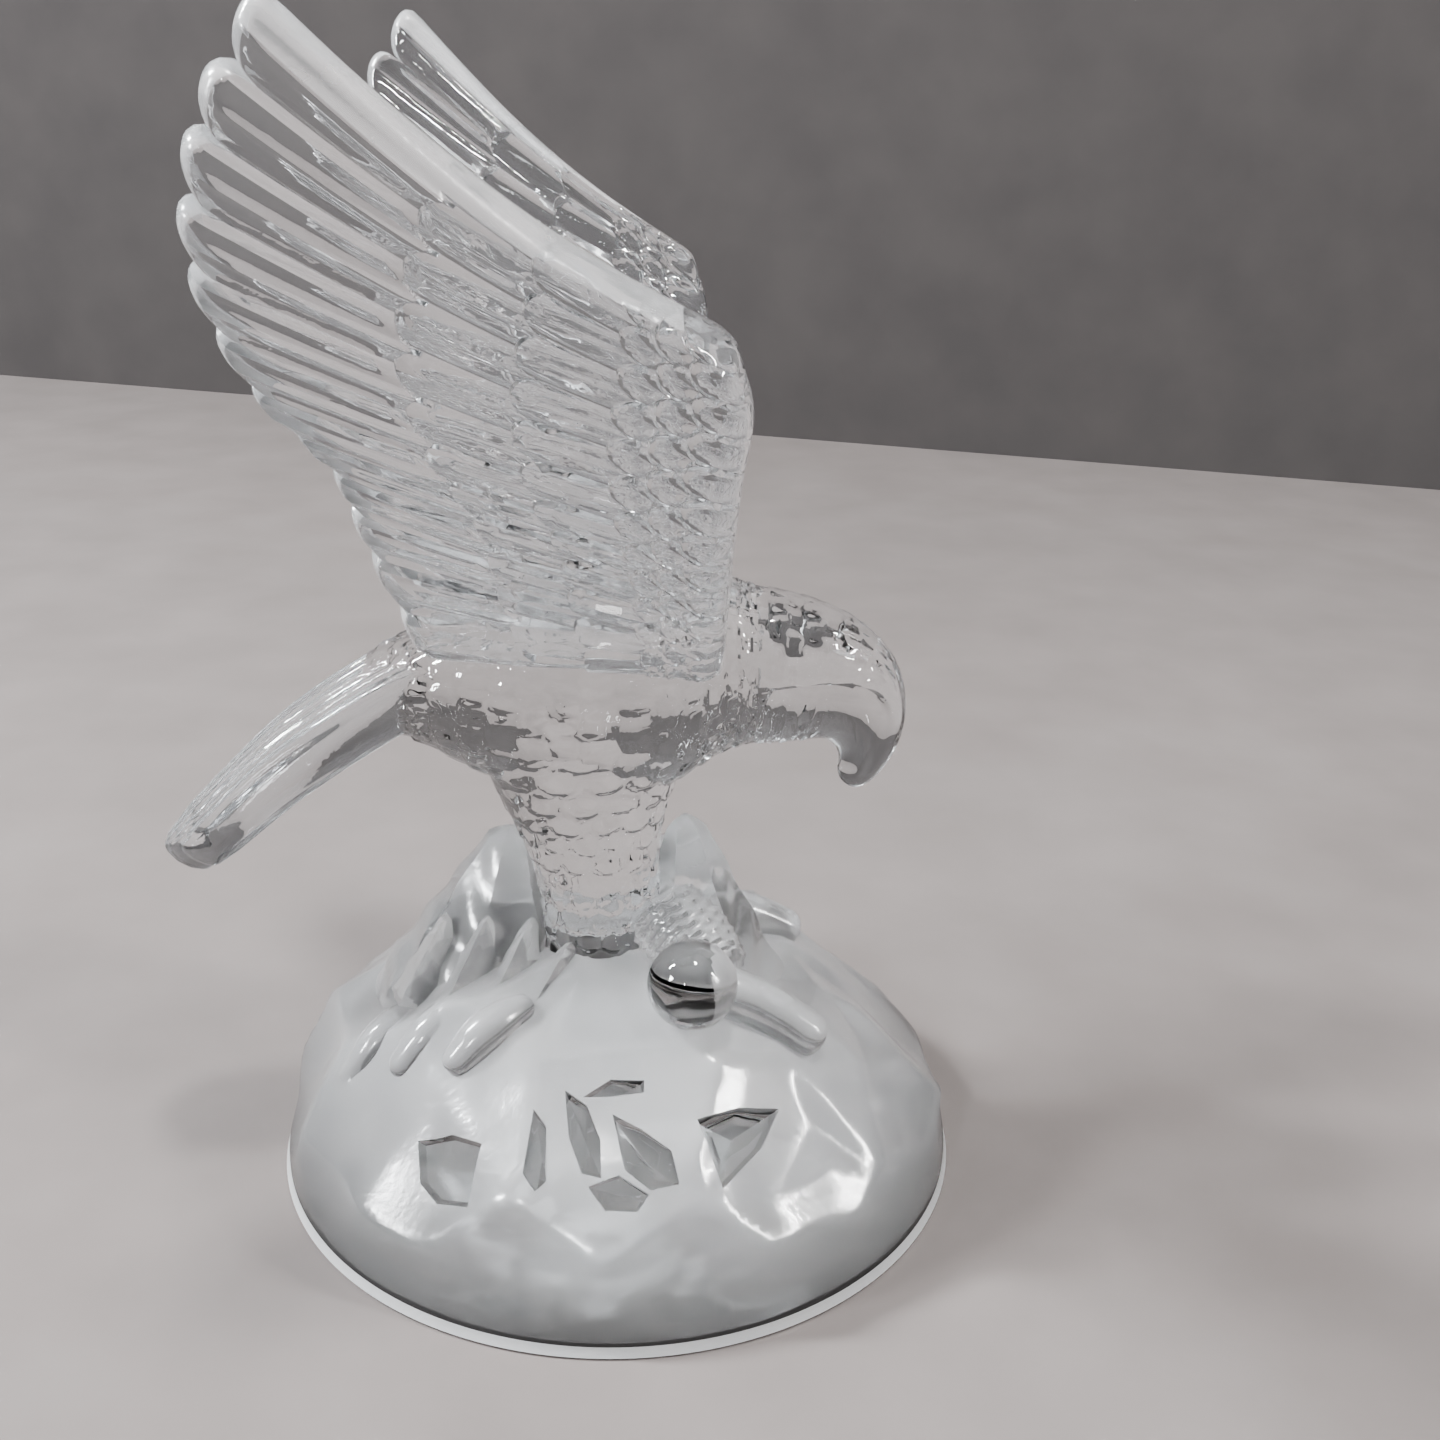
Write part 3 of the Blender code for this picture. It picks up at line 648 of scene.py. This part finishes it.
for i in range(rows + 1):
    t = i / rows
    x, z, pitch, tall, wide, brow, overhang = smooth_path(HEAD_STATIONS, t)
    short_of_tip = min((1.0 - t) / BEAK_TIP_LENGTH, 1.0)
    blunt_tip = BEAK_TIP + BEAK_SWELL * math.sqrt(1.0 - (1.0 - short_of_tip) ** 2)
    tall, wide = tall * blunt_tip, wide * blunt_tip
    up = math.radians(pitch + 90)
    edge = math.asin(brow)
    section = [(edge + (math.pi - 2 * edge) * k / half_count, 0.0) for k in range(half_count + 1)]
    for k in range(1, half_count):
        under = k / half_count
        # the brow's lower face drops in quickly, then the cheek swells out again to the throat
        hollow = overhang * abs(2 * under - 1) ** CHEEK_CURVE
        hollow *= min(1.0, min(under, 1 - under) / BROW_LIP)
        section.append((math.pi - edge + (math.pi + 2 * edge) * under, hollow))
    ring, heights = [], []
    for place, (angle, hollow) in enumerate(section):
        lift = math.sin(angle) * tall
        side = math.cos(angle) * wide * (1 - hollow)
        ring.append(on_eagle(x + math.cos(up) * lift, side, z + math.sin(up) * lift))
        on_crown = place <= half_count
        reach = CROWN_SCALES_END if on_crown else THROAT_SCALES_END
        fade = min(max((reach - t) / SCALES_FADE, 0.0), 1.0)
        if not on_crown:
            under = (place - half_count) / half_count
            from_edge = 0.5 - abs(under - 0.5) - THROAT_BARE
            fade *= min(max(from_edge / SCALES_FADE, 0.0), 1.0)
        scale = shingles(place / len(section) * HEAD_SCALES_ROUND, (1.0 - t) * HEAD_SCALE_ROWS)
        heights.append(SCALE_RELIEF * CROWN_RELIEF * fade * (scale - SCALE_SEAT))
    head_rings.append(ring)
    head_heights.append(heights)
skin("head", raised(head_rings, head_heights), POLISH)


# ---------------------------------------------------------------------------------------------
# The tail.
# A fan of seven long feathers, satin etched, each with a rounded end, a raised shaft and a
# groove between it and the next. It is pressed on both faces.

TAIL_FEATHERS = 7
TAIL_THICKNESS_ROOT, TAIL_THICKNESS_TIP = 0.0070, 0.0040
TAIL_RELIEF = 0.0007
TAIL_ROWS, TAIL_ROWS_CLOSE_UP = 46, 1.25
# the tail's end along its spine, and what its corners and the grooves take off that
TAIL_REACH, TAIL_ROUNDING, TAIL_NOTCH = 0.985, 0.20, 0.035
TAIL_DROOP = 1.6                           # how far its sides hang below its middle
TAIL_LENGTH, TAIL_END_ROUND, TAIL_SIDE_ROUND = 50.0, 1.8, 2.2
TAIL_RIBS, RIBS_RUN_OUT = 1.6, 0.12
SHAFT_RELIEF, SHAFT_WIDTH = 0.00028, 0.13
RIM_PLACE, RIM_WIDTH = 0.74, 0.15
# x and z down the middle of the tail, and half its width
TAIL_SPINE = (
    (-17.0, 32.5, 6.2), (-26.0, 28.8, 7.6), (-37.0, 21.6, 8.9), (-46.0, 13.4, 8.4),
    (-53.0, 6.2, 6.6),
)
# where the columns of points stand in half a feather, closer together at its edge and its shaft
HALF_FEATHER = (0.0, 0.04, 0.12, 0.21, 0.29, 0.38, 0.46)

satin = glass_finish(
    "satin_etch", ((0.94, 0.96, 0.98), (0.97, 0.98, 0.99)), roughness=(0.0, 0.045),
    mottle=0.006, grain=0.0011, grain_depth=0.00006, clear=0.95,
)
margin = glass_finish(
    "satin_margin", ((0.94, 0.955, 0.97), (0.97, 0.98, 0.99)), roughness=(0.18, 0.28),
    mottle=0.006, grain=0.0009, grain_depth=0.00010, clear=0.74,
)
SATIN, MARGIN = 4, 5
FINISHES = (frost, polish, ground, sole, satin, margin)
for form in forms:
    form.data.materials.append(satin)
    form.data.materials.append(margin)


def feather_columns(count):
    """Where the columns of points stand across a number of feathers, in feather widths."""
    stands = []
    for feather in range(count):
        for half in (0.0, 0.5):
            stands += [feather + half + place for place in HALF_FEATHER]
    return stands + [float(count)]


def round_lobe(across, lean=1.0):
    """The rounded end of a feather: 1 at its peak and 0 at its edges. Across runs from 0 to 1."""
    shifted = min(max(across, 0.0), 1.0) ** lean
    return math.sqrt(max(0.0, 1.0 - (2 * shifted - 1) ** 2))


def edge_round(distance, width):
    """From 0 on an edge to 1 once it is one width away, as a quarter circle."""
    share = min(max(distance / width, 0.0), 1.0)
    return math.sqrt(1.0 - (1.0 - share) ** 2)


def plateau(own):
    """How a feather's back stands up between its two grooves, flatter than a half round."""
    return 1.0 - abs(2 * own - 1) ** 3


def ribs(own, strength=1.0, shaft_share=0.8):
    """The shaft of a feather and the raised rim along each of its sides."""
    u = 2 * own - 1
    shaft = math.exp(-((u / SHAFT_WIDTH) ** 2))
    rims = math.exp(-(((abs(u) - RIM_PLACE) / RIM_WIDTH) ** 2))
    return SHAFT_RELIEF * strength * (shaft_share * shaft + rims)


def sheet(name, middle, half, finish_of):
    """A closed leaf from the grid of points down its middle and half its thickness at each.

    Half is one grid for both faces, or a pair of grids."""
    normal = np.cross(np.gradient(middle, axis=0), np.gradient(middle, axis=1))
    normal /= np.linalg.norm(normal, axis=2, keepdims=True)
    rows, count = half.shape[-2:]
    halves = half if half.ndim == 3 else np.stack((half, half))
    vertices, index, faces, kept = [], {}, [], []
    for face, sign in enumerate((1, -1)):
        for i in range(rows):
            for j in range(count):
                rim = i in (0, rows - 1) or j in (0, count - 1)
                if rim and face:
                    index[face, i, j] = index[0, i, j]
                    continue
                index[face, i, j] = len(vertices)
                off = 0 if rim else sign * halves[face, i, j]
                vertices.append(middle[i, j] + off * normal[i, j])
        for i in range(rows - 1):
            for j in range(count - 1):
                corners = ((i, j), (i + 1, j), (i + 1, j + 1), (i, j + 1))
                quad = [index[(face, *corner)] for corner in corners]
                faces.append(quad if face else quad[::-1])
                outward = sign * normal[i, j]
                kept.append(finish_of(i, j, outward))
    add_form(name, vertices, faces, kept)


stands = feather_columns(TAIL_FEATHERS)
tail_middle = np.zeros((TAIL_ROWS + 1, len(stands), 3))
tail_half = np.zeros((TAIL_ROWS + 1, len(stands)))
for i in range(TAIL_ROWS + 1):
    down = 1.0 - (1.0 - i / TAIL_ROWS) ** TAIL_ROWS_CLOSE_UP
    for j, stand in enumerate(stands):
        across = 2 * stand / TAIL_FEATHERS - 1
        own = stand % 1.0
        reach = TAIL_REACH - TAIL_ROUNDING * abs(across) ** 2.2 - TAIL_NOTCH * (1 - round_lobe(own))
        x, z, wide = smooth_path(TAIL_SPINE, down * reach)
        tail_middle[i, j] = on_eagle(x, across * wide, z - TAIL_DROOP * across**2)
        thick = TAIL_THICKNESS_ROOT + (TAIL_THICKNESS_TIP - TAIL_THICKNESS_ROOT) * down
        edges = edge_round((1 - down) * TAIL_LENGTH, TAIL_END_ROUND)
        edges *= edge_round(down * TAIL_LENGTH, TAIL_END_ROUND)
        edges *= edge_round((1 - abs(across)) * wide, TAIL_SIDE_ROUND)
        run_out = min(1.0, (1 - down) / RIBS_RUN_OUT)
        relief = TAIL_RELIEF * plateau(own)
        tail_half[i, j] = (thick / 2 + relief + ribs(own, TAIL_RIBS) * run_out) * edges
sheet("tail", tail_middle, tail_half, lambda i, j, outward: SATIN if outward[2] > 0 else POLISH)


# ---------------------------------------------------------------------------------------------
# The wings.
# Each wing is one leaf of glass with overlapping feathers on both faces: three rows of small
# ringed scales by the thick front edge, two of coverts, then twelve long ribbed quills.

FLIGHT_FEATHERS = 12
FEATHER_ROWS = (0.075, 0.145, 0.22, 0.40, 0.60)
ROW_SCALLOP = 0.048
WING_THICKNESS_FRONT, WING_THICKNESS_TIP = 0.0066, 0.0032
QUILL_RELIEF, COVERT_RELIEF = 0.0009, 0.0009
LEFT_WING_CHORD = 0.93
LEADING_SAG, CHORD_MIDDLE = 2.6, -10.0
WING_DEPTH = 60.0
TIP_NOTCH, ROW_STEP = 0.055, 0.004
# the flat satin margin along the wing's top, row by row, in feather widths, and how it stands up
PLAIN_MARGIN, MARGIN_SHARE = (0.0, 0.10, 0.18, 0.27, 0.40, 0.42), 0.8
INNER_RELIEF = {-1: 0.10, 1: 0.50}         # the inner faces are carved less, the right wing's least
SMALL_ROWS = 3                             # the rows of ringed scales
RING_PLACE, RING_WIDTH, RING_HEIGHT = 0.78, 0.17, 0.40
FRONT_ROUND, SIDE_ROUND, TIP_ROUND = 3.0, 2.5, 1.4
FRONT_FADE, FRONT_CARVED = 3.5, 0.15       # the carving fades out towards the round front edge
QUILL_RIBS, COVERT_RIBS = 1.5, 0.5
SATIN_TIP = 0.93                           # from here on the quills' ends are satin
WING_ROOT, WING_RISE = 35.0, 65.0
ROOT_SPREAD, TIP_SPREAD, SPREAD_CURVE = 9.3, 32.5, 1.4
# x and z of the front edge, and of the quills' tips, from the wing's top down
WING_FRONT = (
    (10.0, 73.4), (12.0, 66.8), (11.6, 60.0), (11.3, 52.4), (11.2, 45.7), (11.2, 39.5), (11.2, 34.5)
)
WING_TIPS = (
    (-27.9, 101.6), (-34.3, 91.6), (-36.7, 80.4), (-33.7, 69.7), (-27.7, 61.2), (-25.4, 51.2),
    (-21.6, 36.0),
)
# where the lines of points stand along a scale or covert, a front scale and a quill
SCALE_LINES = (0.0, 0.10, 0.25, 0.42, 0.60, 0.78, 0.92, 1.0)
FRONT_LINES = (0.0, 0.05, 0.12, 0.22, 0.36, 0.50, 0.64, 0.78, 0.90, 1.0)
QUILL_LINES = (
    0.0, 0.02, 0.06, 0.11, 0.17, 0.24, 0.31, 0.38, 0.46, 0.54, 0.62, 0.69, 0.76, 0.82, 0.87, 0.91,
    0.94, 0.965, 0.982, 0.993, 1.0,
)


def wing_spread(z):
    """How far the wing stands off the eagle's middle plane at height z: the wings open like a V."""
    share = min(max((z - WING_ROOT) / WING_RISE, -0.2), 1.05)
    return ROOT_SPREAD + TIP_SPREAD * (1.0 - abs(1.0 - share) ** SPREAD_CURVE)


def covert_height(band, own, v):
    """How high a short feather or scale stands, from 0 at its root to 1 on its rim."""
    u = 2 * own - 1
    lobe = plateau(own)
    if band < SMALL_ROWS:
        # small feathers are dished, with a raised ring round them
        ring_place = math.hypot(u, (2 * v - 1) * 0.9)
        ring = math.exp(-(((ring_place - RING_PLACE) / RING_WIDTH) ** 2))
        return (0.20 + 0.20 * v) * lobe + RING_HEIGHT * ring
    return (0.30 + 0.70 * v) * lobe


def wing(side):
    """One wing: -1 is the right one, 1 the left."""
    last = len(FEATHER_ROWS)
    starts, ends = (0.0, *FEATHER_ROWS), (*FEATHER_ROWS, 1.0)
    lines = [(0, v) for v in FRONT_LINES]
    lines += [(band, v) for band in range(1, last) for v in SCALE_LINES]
    lines += [(last, v) for v in QUILL_LINES]
    stands = feather_columns(FLIGHT_FEATHERS)
    middle = np.zeros((len(lines), len(stands), 3))
    half = np.zeros((2, len(lines), len(stands)))      # of the outer face, then of the inner face
    for i, (band, v) in enumerate(lines):
        for j, stand in enumerate(stands):
            s = stand / FLIGHT_FEATHERS
            front, tips = smooth_path(WING_FRONT, s), smooth_path(WING_TIPS, s)
            reach = float(np.linalg.norm(tips - front))
            # rows of feathers lie like bricks, so every other one is half a feather over
            own = (stand + 0.5 * ((last - band) % 2)) % 1.0
            before = (own + 0.5) % 1.0
            near = starts[band] + (ROW_SCALLOP * round_lobe(before) + ROW_STEP if band else 0.0)
            near -= ROW_STEP * v if band else 0.0
            if band < last:
                far = ends[band] + ROW_SCALLOP * round_lobe(own)
            else:
                far = 1.0 - TIP_NOTCH * (1 - round_lobe(own, 0.7))
            r = near + (far - near) * v
            x, z = front + (tips - front) * r
            z -= LEADING_SAG * math.sin(math.pi * r) * (1.0 - s) ** 2
            if side > 0:
                x = CHORD_MIDDLE + (x - CHORD_MIDDLE) * LEFT_WING_CHORD
            middle[i, j] = on_eagle(x, side * wing_spread(z), z)
            thick = WING_THICKNESS_FRONT + (WING_THICKNESS_TIP - WING_THICKNESS_FRONT) * r
            if band == last:
                relief = QUILL_RELIEF * plateau(own)
                relief += ribs(own, QUILL_RIBS) * min(1.0, v / 0.08, (1 - v) / 0.10)
            else:
                relief = COVERT_RELIEF * covert_height(band, own, v)
                if band >= SMALL_ROWS:
                    relief += ribs(own, COVERT_RIBS, 0.0) * min(1.0, (1 - v) / 0.15)
            edges = edge_round(r * reach, FRONT_ROUND)
            sides = edge_round(s * WING_DEPTH, SIDE_ROUND)
            edges *= sides * edge_round((1 - s) * WING_DEPTH, SIDE_ROUND)
            if band == last:
                edges *= edge_round((far - r) * reach, TIP_ROUND)
            if stand < PLAIN_MARGIN[band]:
                relief = QUILL_RELIEF * MARGIN_SHARE
            relief *= min(1.0, FRONT_CARVED + r * reach / FRONT_FADE)
            half[:, i, j] = (thick / 2 + relief * np.array((1.0, INNER_RELIEF[side]))) * edges

    def finish_of(i, j, outward):
        band, v = lines[i]
        if (band == last and v > SATIN_TIP) or stands[j] < PLAIN_MARGIN[band]:
            return MARGIN
        return POLISH if outward[1] * side < 0 else SATIN

    across_it = np.cross(middle[2, 1] - middle[1, 1], middle[1, 2] - middle[1, 1])
    sheet("wing", middle, half if across_it[1] * side > 0 else half[::-1], finish_of)


for side in (-1, 1):
    wing(side)


# ---------------------------------------------------------------------------------------------
# The pressing.
# All of it is one gob of clear glass pressed in one mould, so the forms are joined into a single
# closed solid, which stands for the CAD solid.

SHARP_EDGE = math.radians(38)

for form in forms[1:]:
    join = rock.modifiers.new(form.name, "BOOLEAN")
    join.operation = "UNION"
    join.object = form
    join.solver = "MANIFOLD"
whole = bpy.data.meshes.new_from_object(rock.evaluated_get(bpy.context.evaluated_depsgraph_get()))
whole.name = "eagle_figurine"
for done_with in (*forms, *cut_tools):
    bpy.data.objects.remove(done_with)
whole.shade_smooth()
whole.set_sharp_from_angle(angle=SHARP_EDGE)
figurine = bpy.data.objects.new("eagle_figurine", whole)
bpy.context.scene.collection.objects.link(figurine)
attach(figurine, "root")
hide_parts("glass_eagle")


# ---------------------------------------------------------------------------------------------
# The floor and the grey wall behind it.
# A plain pale floor with a faint soft nap, and a plain dark grey wall that meets it at a slant.
# Neither is part of the figurine.

NAP_SCALE, NAP_DETAIL = 40.0, 6.0
FLOOR_TINTS = ((0.198, 0.179, 0.173), (0.219, 0.199, 0.193))
WALL_TINTS = ((0.094, 0.088, 0.088), (0.105, 0.098, 0.097))
WALL_LEFT, WALL_RIGHT = (-0.90, 0.728), (0.90, 0.170)


def plain_surface(name, corners, tints, rough):
    """A flat four-cornered surface in two close tints."""
    mesh = bpy.data.meshes.new(name)
    mesh.from_pydata(corners, [], [(0, 1, 2, 3)])
    made = bpy.data.objects.new(name, mesh)
    bpy.context.scene.collection.objects.link(made)
    material = bpy.data.materials.new(name)
    material.use_nodes = True
    nodes, links = material.node_tree.nodes, material.node_tree.links
    shader = nodes["Principled BSDF"]
    shader.inputs["Roughness"].default_value = rough
    shader.inputs["Specular IOR Level"].default_value = 0.2
    place = nodes.new("ShaderNodeTexCoord")
    nap = nodes.new("ShaderNodeTexNoise")
    nap.inputs["Scale"].default_value = NAP_SCALE
    nap.inputs["Detail"].default_value = NAP_DETAIL
    tint = nodes.new("ShaderNodeValToRGB")
    tint.color_ramp.elements[0].position = 0.3
    tint.color_ramp.elements[0].color = (*tints[0], 1.0)
    tint.color_ramp.elements[1].position = 0.7
    tint.color_ramp.elements[1].color = (*tints[1], 1.0)
    links.new(place.outputs["Object"], nap.inputs["Vector"])
    links.new(nap.outputs["Fac"], tint.inputs["Fac"])
    links.new(tint.outputs["Color"], shader.inputs["Base Color"])
    mesh.materials.append(material)


plain_surface("floor", ((-2, -2, 0), (2, -2, 0), (2, 2, 0), (-2, 2, 0)), FLOOR_TINTS, rough=0.9)
plain_surface(
    "wall", ((*WALL_LEFT, 0), (*WALL_RIGHT, 0), (*WALL_RIGHT, 1.0), (*WALL_LEFT, 1.0)),
    WALL_TINTS, rough=0.95,
)


# ---------------------------------------------------------------------------------------------
# The light.
# A window to the left, a ceiling panel and four smaller soft panels round the figurine, in a soft
# room that is dim at the height of the floor and bright overhead.

# how bright the room is from straight down, 0, to straight up, 1
ROOM = ((0.0, 0.03), (0.50, 0.05), (0.72, 0.12), (0.86, 0.45), (1.0, 1.20))
ROOM_TINT = (0.97, 1.0, 1.03)


def soft_panel(name, place, target, size, power, colour):
    """A soft rectangle of light at a place, turned to a target."""
    light = bpy.data.lights.new(name, "AREA")
    light.shape = "RECTANGLE"
    light.size, light.size_y = size
    light.energy = power
    light.color = colour
    made = bpy.data.objects.new(name, light)
    made.location = place
    made.rotation_euler = (Vector(target) - Vector(place)).to_track_quat("-Z", "Y").to_euler()
    bpy.context.scene.collection.objects.link(made)


soft_panel("window_light", (-0.75, 0.10, 0.75), (0, 0, 0.08), (0.08, 0.24), 13.0, (0.95, 0.98, 1.0))
soft_panel("ceiling_light", (0.10, -0.10, 1.15), (0, 0, 0.05), (0.13, 0.13), 6.0, (1.0, 0.99, 0.97))
soft_panel("far_light", (0.55, 0.35, 0.70), (0, 0, 0.10), (0.05, 0.24), 7.0, (1.0, 1.0, 1.0))
soft_panel("left_panel", (-0.62, -0.27, 0.37), (0, 0, 0.03), (0.10, 0.12), 3.2, (0.96, 0.98, 1.0))
soft_panel("front_light", (-0.35, -0.80, 0.50), (0, 0, 0.08), (0.03, 0.12), 1.8, (0.97, 0.99, 1.0))
soft_panel("right_strip", (0.65, -0.25, 0.40), (0, 0, 0.08), (0.03, 0.30), 3.5, (1.0, 0.99, 0.98))

world = bpy.data.worlds.new("soft_room")
world.use_nodes = True
nodes, links = world.node_tree.nodes, world.node_tree.links
way = nodes.new("ShaderNodeTexCoord")
split = nodes.new("ShaderNodeSeparateXYZ")
height = nodes.new("ShaderNodeMapRange")
height.inputs["From Min"].default_value = -1.0
glow = nodes.new("ShaderNodeValToRGB")
while len(glow.color_ramp.elements) < len(ROOM):
    glow.color_ramp.elements.new(0.5)
for element, (place, bright) in zip(glow.color_ramp.elements, ROOM):
    element.position = place
    element.color = (*(bright * tint for tint in ROOM_TINT), 1.0)
links.new(way.outputs["Generated"], split.inputs["Vector"])
links.new(split.outputs["Z"], height.inputs["Value"])
links.new(height.outputs["Result"], glow.inputs["Fac"])
links.new(glow.outputs["Color"], nodes["Background"].inputs["Color"])
bpy.context.scene.world = world


# ---------------------------------------------------------------------------------------------
# The camera.
# It stands at the photo's place and angle, with the photo's lens, and looks down on the figurine.

SENSOR_MM, LENS_MM = 36.0, 41.86

lens = bpy.data.cameras.new("camera")
lens.sensor_width = SENSOR_MM
lens.lens = LENS_MM
lens.clip_start = 0.01
camera = bpy.data.objects.new("camera", lens)
camera.location = (0.0, -0.190816, 0.136730)
camera.rotation_euler = tuple(math.radians(a) for a in (67.9966, -1.4676, -3.0215))
bpy.context.scene.collection.objects.link(camera)
bpy.context.scene.camera = camera
bpy.context.scene.view_settings.look = "AgX - High Contrast"    # clear glass looks flat without it
